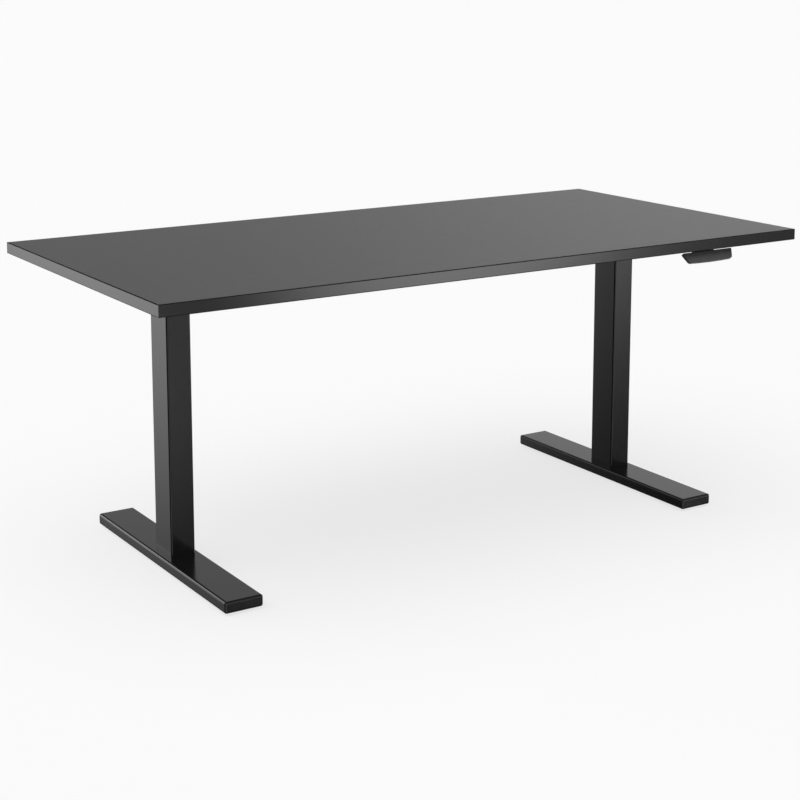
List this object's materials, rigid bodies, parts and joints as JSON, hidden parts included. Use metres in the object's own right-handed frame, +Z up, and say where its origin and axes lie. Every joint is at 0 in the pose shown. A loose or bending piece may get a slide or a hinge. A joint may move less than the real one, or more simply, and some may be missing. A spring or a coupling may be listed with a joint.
{
  "type": "height adjustable standing desk",
  "caption": "Electric sit-stand desk: rectangular laminated top on telescopic rectangular columns with flat bar feet, and a tilt paddle under the front edge that drives the height.",
  "frame": {"origin": "on the floor, under the middle of the desktop", "axes": "+X along the desk's width towards the handset's side, +Y from the front edge to the back edge, +Z up"},
  "size_m": [1.6, 0.8, 0.66],
  "materials": {
    "laminate": "fine matt laminate, dark neutral grey",
    "edge_band": "satin edge strip, dark neutral grey",
    "core_board": "particle board",
    "leg_paint": "smooth satin powder coat, dark grey",
    "tube_paint": "smooth satin powder coat, dark grey",
    "frame_paint": "fine textured powder coat, near black",
    "cap_plastic": "moulded satin plastic",
    "cast_aluminium": "die cast",
    "motor_can": "black passivated steel can",
    "black_fasteners": "black oxide",
    "bright_steel": "zinc plated",
    "bearing_plastic": "natural acetal",
    "control_plastic": "black textured moulding",
    "handset_plastic": "dark grey satin moulding",
    "circuit_board": "green board",
    "guide_plastic": "black acetal",
    "glide_plastic": "black polypropylene"
  },
  "bodies": {
    "base": {"column_bolts": "black_fasteners", "glide_inserts": "bright_steel", "left_fixed_rod": "bright_steel", "left_foot": "leg_paint", "left_foot_caps": "cap_plastic", "left_outer_collar": "guide_plastic", "left_outer_tube": "leg_paint", "right_fixed_rod": "bright_steel", "right_foot": "leg_paint", "right_foot_caps": "cap_plastic", "right_outer_collar": "guide_plastic", "right_outer_tube": "leg_paint"},
    "desktop": {"back_edge_band": "edge_band", "back_rail": "frame_paint", "bottom_skin": "laminate", "control_box": "control_plastic", "control_box_cover": "control_plastic", "desktop_core": "core_board", "desktop_screws": "black_fasteners", "frame_bolts": "black_fasteners", "front_edge_band": "edge_band", "front_rail": "frame_paint", "handset_bracket": "handset_plastic", "left_arm": "frame_paint", "left_edge_band": "edge_band", "left_gearbox": "cast_aluminium", "left_head_plate": "frame_paint", "left_inner_guide": "guide_plastic", "left_inner_tube": "tube_paint", "left_motor": "motor_can", "paddle_pin": "bright_steel", "right_arm": "frame_paint", "right_edge_band": "edge_band", "right_gearbox": "cast_aluminium", "right_head_plate": "frame_paint", "right_inner_guide": "guide_plastic", "right_inner_tube": "tube_paint", "right_motor": "motor_can", "switch_board": "circuit_board", "top_skin": "laminate"},
    "left_back_glide": {"left_back_glide": "glide_plastic"},
    "left_front_glide": {"left_front_glide": "glide_plastic"},
    "left_middle": {"left_drive_nut": "bearing_plastic", "left_middle_collar": "guide_plastic", "left_middle_guide": "guide_plastic", "left_middle_tube": "tube_paint", "left_nut_tube": "bright_steel"},
    "left_screw": {"left_drive_screw": "bright_steel"},
    "left_sleeve": {"left_nut_sleeve": "bearing_plastic"},
    "paddle": {"handset_paddle": "handset_plastic"},
    "right_back_glide": {"right_back_glide": "glide_plastic"},
    "right_front_glide": {"right_front_glide": "glide_plastic"},
    "right_middle": {"right_drive_nut": "bearing_plastic", "right_middle_collar": "guide_plastic", "right_middle_guide": "guide_plastic", "right_middle_tube": "tube_paint", "right_nut_tube": "bright_steel"},
    "right_screw": {"right_drive_screw": "bright_steel"},
    "right_sleeve": {"right_nut_sleeve": "bearing_plastic"}
  },
  "joints": [
    {"name": "lift", "type": "slide", "parent": "base", "child": "desktop", "axis": [0, 0, 1], "range_m": [0, 0.5]},
    {"name": "left_stage", "type": "slide", "parent": "base", "child": "left_middle", "axis": [0, 0, 1], "range_m": [0, 0.2501]},
    {"name": "left_screw_turn", "type": "hinge", "parent": "desktop", "child": "left_screw", "pos_m": [-0.594, 0, 0.3], "axis": [0, 0, 1], "range_deg": [0, 9001]},
    {"name": "left_sleeve_turn", "type": "hinge", "parent": "left_middle", "child": "left_sleeve", "pos_m": [-0.594, 0, 0.2], "axis": [0, 0, 1], "range_deg": [0, 9001]},
    {"name": "right_stage", "type": "slide", "parent": "base", "child": "right_middle", "axis": [0, 0, 1], "range_m": [0, 0.2501]},
    {"name": "right_screw_turn", "type": "hinge", "parent": "desktop", "child": "right_screw", "pos_m": [0.594, 0, 0.3], "axis": [0, 0, 1], "range_deg": [0, 9001]},
    {"name": "right_sleeve_turn", "type": "hinge", "parent": "right_middle", "child": "right_sleeve", "pos_m": [0.594, 0, 0.2], "axis": [0, 0, 1], "range_deg": [0, 9001]},
    {"name": "paddle_tilt", "type": "hinge", "parent": "desktop", "child": "paddle", "pos_m": [0.545, -0.366, 0.613], "axis": [1, 0, 0], "range_deg": [-6, 6], "stiffness_Nm_per_rad": 1.5},
    {"name": "left_front_glide_screw", "type": "slide", "parent": "base", "child": "left_front_glide", "axis": [0, 0, -1], "range_m": [0, 0.01]},
    {"name": "left_back_glide_screw", "type": "slide", "parent": "base", "child": "left_back_glide", "axis": [0, 0, -1], "range_m": [0, 0.01]},
    {"name": "right_front_glide_screw", "type": "slide", "parent": "base", "child": "right_front_glide", "axis": [0, 0, -1], "range_m": [0, 0.01]},
    {"name": "right_back_glide_screw", "type": "slide", "parent": "base", "child": "right_back_glide", "axis": [0, 0, -1], "range_m": [0, 0.01]}
  ],
  "couplings": [
    {"joint": "left_stage", "follows": "lift", "ratio": 0.5},
    {"joint": "left_screw_turn", "follows": "lift", "rad_per_m": 314.16},
    {"joint": "left_sleeve_turn", "follows": "lift", "rad_per_m": 314.16},
    {"joint": "right_stage", "follows": "lift", "ratio": 0.5},
    {"joint": "right_screw_turn", "follows": "lift", "rad_per_m": 314.16},
    {"joint": "right_sleeve_turn", "follows": "lift", "rad_per_m": 314.16}
  ]
}
